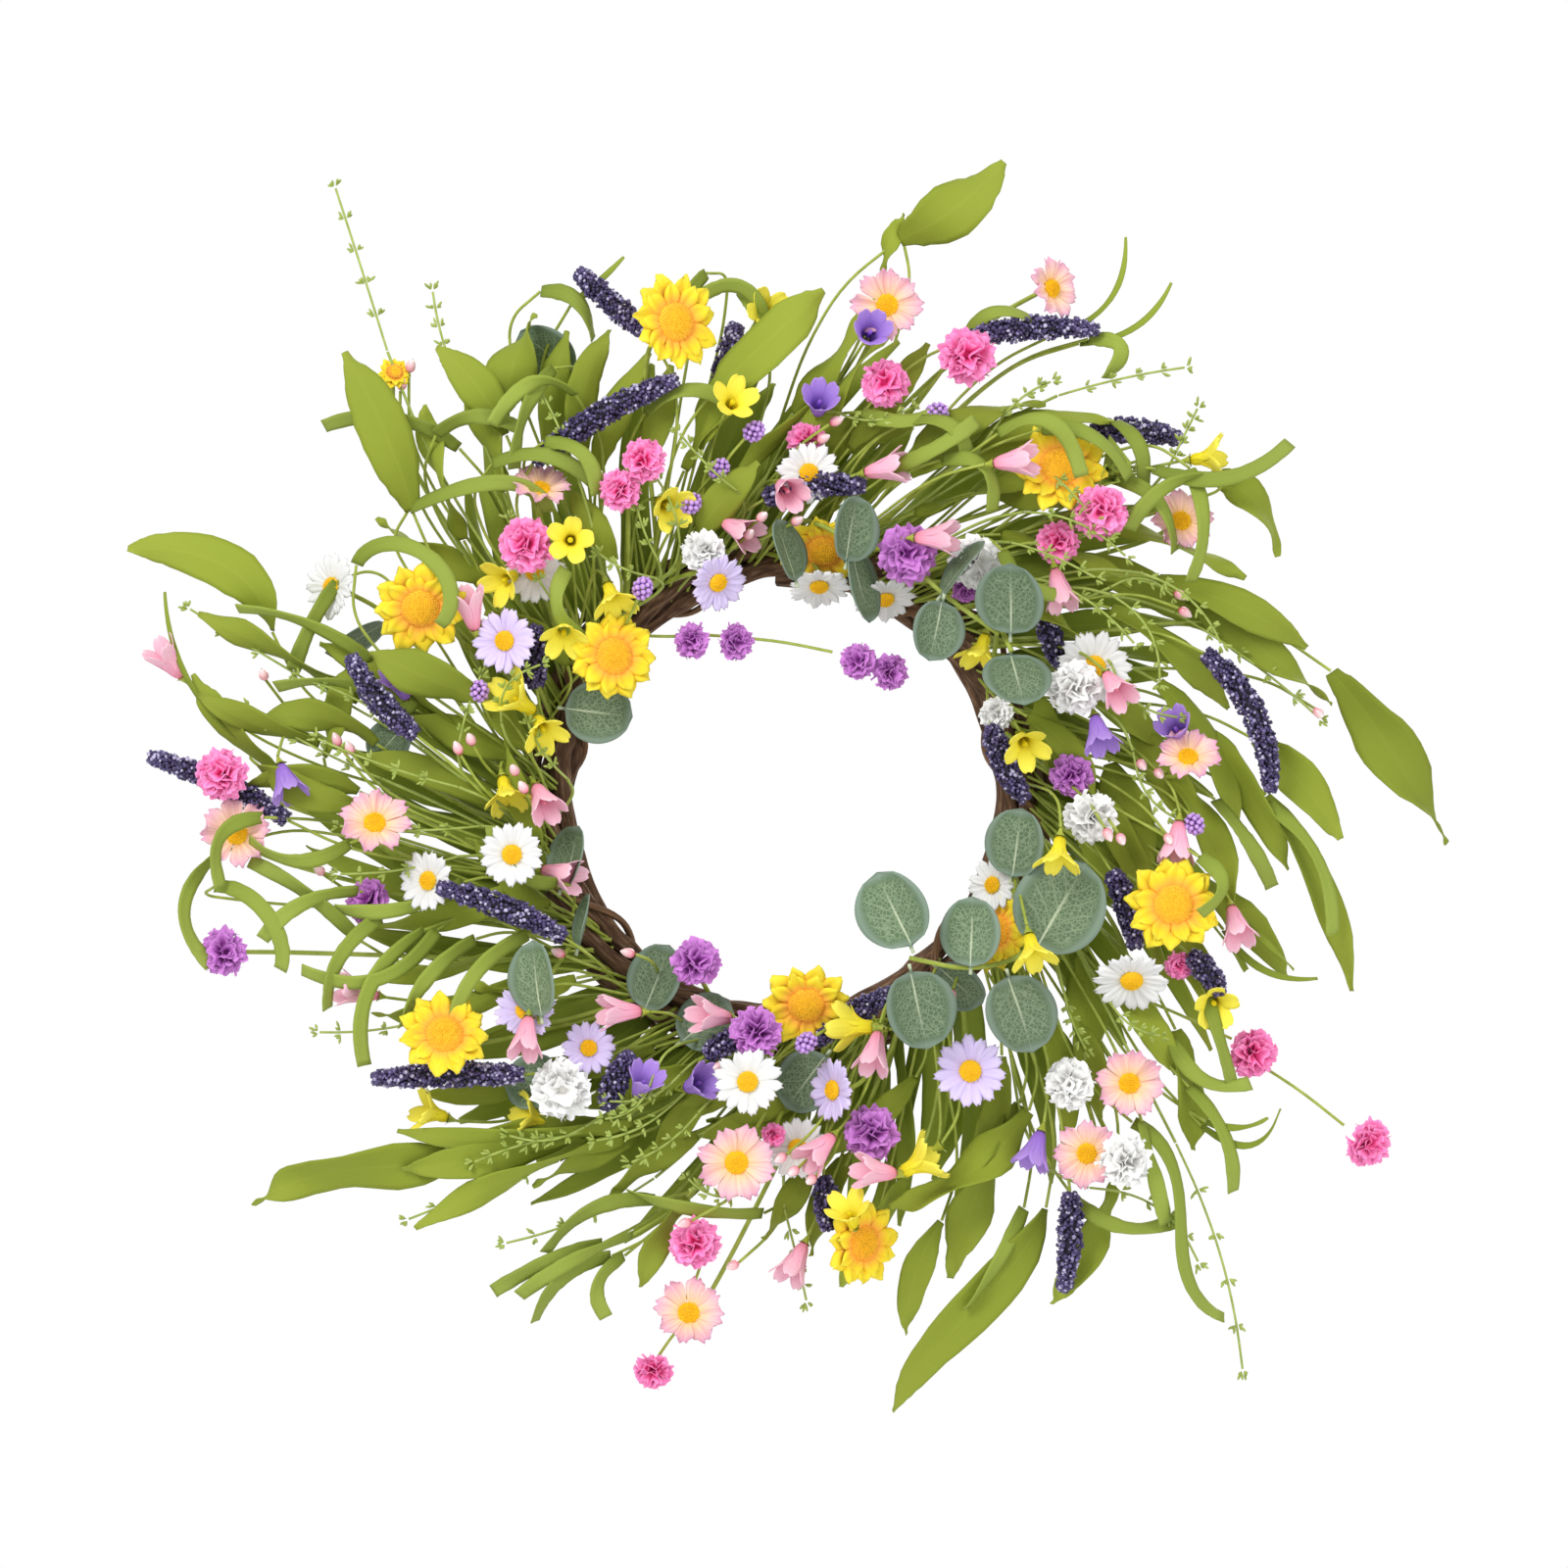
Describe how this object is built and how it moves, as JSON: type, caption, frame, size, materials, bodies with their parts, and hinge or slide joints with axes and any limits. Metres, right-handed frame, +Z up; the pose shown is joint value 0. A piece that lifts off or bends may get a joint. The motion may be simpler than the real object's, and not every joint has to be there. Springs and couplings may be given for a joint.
{
  "type": "flower wreath",
  "caption": "Round hanging wreath of artificial spring wildflowers, leaves and sprigs on a twisted grapevine ring.",
  "frame": {"origin": "the point inside the top of the vine ring where a door hook carries it", "axes": "+X to the right seen from the front, +Y from the viewer to the door, +Z up; the flowers face -Y"},
  "size_m": [0.6102, 0.1105, 0.5772],
  "materials": {
    "bark": "matt bark with lighter streaks",
    "bark_thin": "matt thin vine",
    "sun_yellow": "matt printed cloth petals",
    "sun_disc": "fuzzy flocked disc",
    "white_cloth": "matt cloth petals",
    "lilac_cloth": "matt cloth petals",
    "pink_cloth": "matt cloth petals with printed veins",
    "yellow_disc": "beaded plastic disc",
    "hot_pink": "ruffled cloth",
    "ruffle_white": "ruffled cloth",
    "purple": "ruffled cloth",
    "bell_yellow": "matt pressed cloth",
    "bell_pink": "matt pressed cloth",
    "bell_lilac": "matt pressed cloth",
    "lavender": "crumbly foam granules",
    "eucalyptus": "matt moulded plastic with pale veins",
    "leaf": "matt cloth",
    "strap": "matt foam sheet",
    "blade": "matt cloth",
    "stem": "moulded over wire, satin",
    "calyx": "moulded, satin",
    "bud": "glossy dipped pips",
    "berry": "glossy small beads",
    "sprig": "fine moulded twig"
  },
  "bodies": {
    "wreath": {"bell_cups": "calyx", "bell_stems": "stem", "berry_heads": "berry", "berry_stems": "stem", "broad_leaf_stalks": "stem", "broad_leaves": "leaf", "carnation_calyxes": "calyx", "carnation_pink_heads": "hot_pink", "carnation_purple_heads": "purple", "carnation_stems": "stem", "carnation_white_heads": "ruffle_white", "carnation_wires": "stem", "crocus_bells": "bell_lilac", "eucalyptus_leaves": "eucalyptus", "eucalyptus_twigs": "stem", "forsythia_bells": "bell_yellow", "grass_blades": "blade", "grass_stalks": "stem", "lavender_spikes": "lavender", "lavender_stems": "stem", "lilac_daisy_calyxes": "calyx", "lilac_daisy_centres": "yellow_disc", "lilac_daisy_petals": "lilac_cloth", "lilac_daisy_stems": "stem", "pink_cosmos_calyxes": "calyx", "pink_cosmos_centres": "yellow_disc", "pink_cosmos_petals": "pink_cloth", "pink_cosmos_stems": "stem", "pip_buds": "bud", "pip_stems": "stem", "sprig_leaflets": "sprig", "sprig_stalks": "sprig", "sprig_twigs": "sprig", "strap_leaves": "strap", "strap_stalks": "stem", "sunflower_back_petals": "sun_yellow", "sunflower_calyxes": "calyx", "sunflower_centres": "sun_disc", "sunflower_front_petals": "sun_yellow", "sunflower_stems": "stem", "tulip_bells": "bell_pink", "under_blades": "blade", "vine_binding": "bark_thin", "vine_cane_1": "bark", "vine_cane_2": "bark", "vine_cane_3": "bark", "vine_cane_4": "bark", "vine_cane_5": "bark", "vine_core": "bark", "white_daisy_calyxes": "calyx", "white_daisy_centres": "yellow_disc", "white_daisy_petals": "white_cloth", "white_daisy_stems": "stem"}
  },
  "joints": []
}
